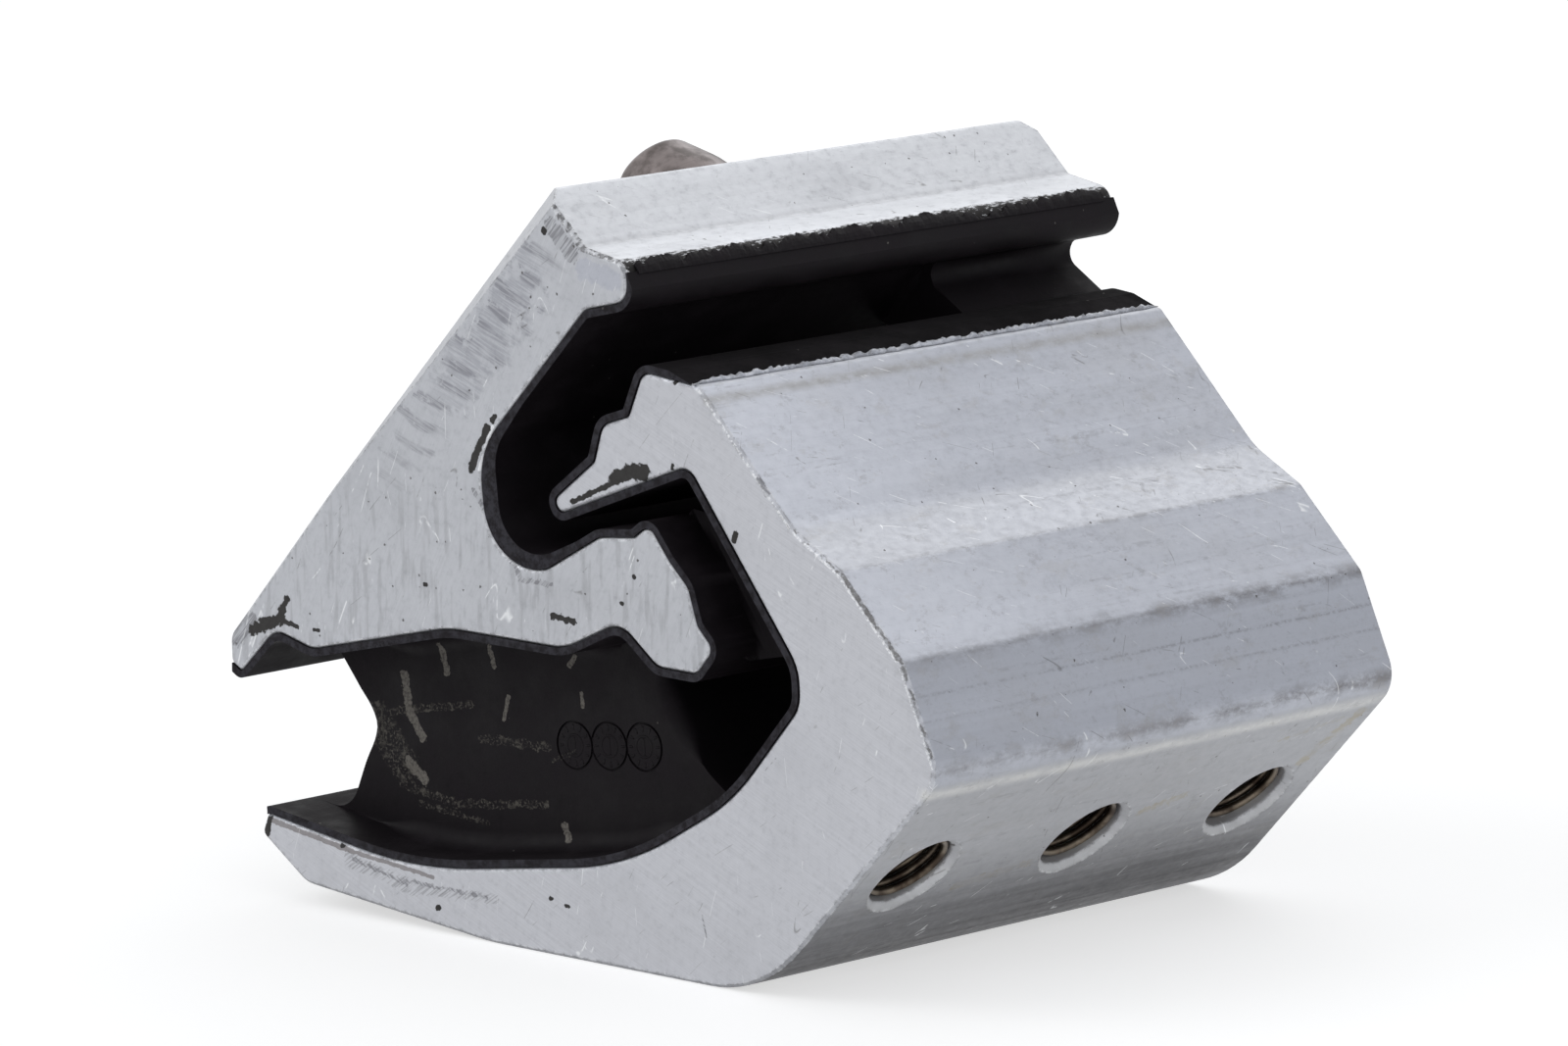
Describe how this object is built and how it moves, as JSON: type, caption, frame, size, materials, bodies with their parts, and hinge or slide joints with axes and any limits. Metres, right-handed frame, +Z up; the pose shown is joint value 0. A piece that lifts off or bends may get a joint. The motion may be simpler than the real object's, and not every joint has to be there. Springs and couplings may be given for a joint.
{
  "type": "engine mount",
  "caption": "Bonded engine mount: two extruded aluminium profiles that hook into each other across a moulded rubber spring, with a slanted bolt face and a locating pin.",
  "frame": {"origin": "middle of the lower profile's flat foot, at mid-length", "axes": "+Z up off the foot, Y along the extrusion, +X towards the slanted bolt face"},
  "size_m": [0.1503, 0.115, 0.122],
  "materials": {
    "profile": "sawn and brushed, satin",
    "rubber": "moulded, matt black",
    "insert": "drawn wire, lightly stained",
    "pin": "dark phosphated, turned"
  },
  "bodies": {
    "root": {"lower_profile": "profile", "upper_profile": "profile", "rubber_spring": "rubber", "locating_pin": "pin", "bracket_insert_1": "insert", "bracket_insert_2": "insert", "bracket_insert_3": "insert", "engine_insert_1": "insert", "engine_insert_2": "insert", "engine_insert_3": "insert"}
  },
  "joints": []
}
